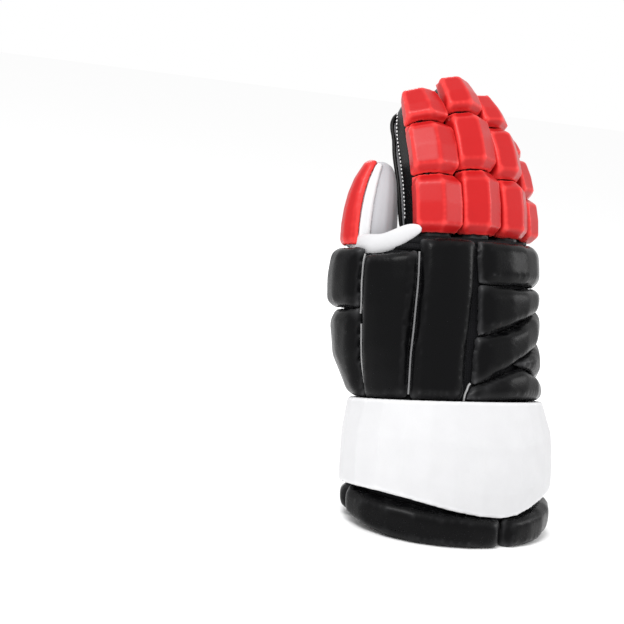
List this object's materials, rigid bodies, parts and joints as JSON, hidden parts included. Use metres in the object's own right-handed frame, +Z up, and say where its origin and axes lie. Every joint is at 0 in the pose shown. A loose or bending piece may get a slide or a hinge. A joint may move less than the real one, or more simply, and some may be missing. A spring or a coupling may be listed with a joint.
{
  "type": "ice hockey glove",
  "caption": "Padded right-hand ice hockey glove, open at the wrist, with block pads over a finger-and-thumb liner, a flared cuff band and a leather palm.",
  "frame": {"origin": "on the floor under the middle of the glove's bounding box", "axes": "+Z up from the cuff to the fingertips, -Y out of the back of the hand, +Y out of the palm, -X towards the thumb"},
  "size_m": [0.1806, 0.1586, 0.3349],
  "materials": {
    "red_pad": "semi-gloss coated fabric over foam",
    "black_pad": "semi-gloss grained",
    "liner": "matt knitted",
    "palm_leather": "matt suede",
    "white_trim": "satin"
  },
  "bodies": {
    "root": {"hand_shell": "liner", "index_sleeve": "liner", "index_palm_strip": "palm_leather", "index_pad_base": "red_pad", "index_pad_middle": "red_pad", "index_pad_tip": "red_pad", "middle_sleeve": "liner", "middle_palm_strip": "palm_leather", "middle_pad_base": "red_pad", "middle_pad_middle": "red_pad", "middle_pad_tip": "red_pad", "ring_sleeve": "liner", "ring_palm_strip": "palm_leather", "ring_pad_base": "red_pad", "ring_pad_middle": "red_pad", "ring_pad_tip": "red_pad", "pinkie_sleeve": "liner", "pinkie_palm_strip": "palm_leather", "pinkie_pad_base": "red_pad", "pinkie_pad_middle": "red_pad", "pinkie_pad_tip": "red_pad", "thumb_sleeve": "palm_leather", "thumb_shell": "red_pad", "thumb_binding_front": "white_trim", "thumb_binding_back": "white_trim", "back_panel_main": "black_pad", "back_panel_thumb": "black_pad", "knuckle_pad": "black_pad", "back_pad": "black_pad", "diagonal_roll": "black_pad", "side_wedge": "black_pad", "lower_roll": "black_pad", "thumb_roll_upper": "black_pad", "thumb_roll_lower": "black_pad", "pinkie_side_roll_1": "black_pad", "pinkie_side_roll_2": "black_pad", "pinkie_side_roll_3": "black_pad", "palm_upper": "palm_leather", "palm_lower": "palm_leather", "side_binding": "white_trim", "pinkie_binding": "white_trim", "cuff_band": "white_trim", "cuff_lobe_thumb": "black_pad", "cuff_roll_main": "black_pad", "cuff_roll_pinkie": "black_pad", "heel_cuff": "black_pad"}
  },
  "joints": []
}
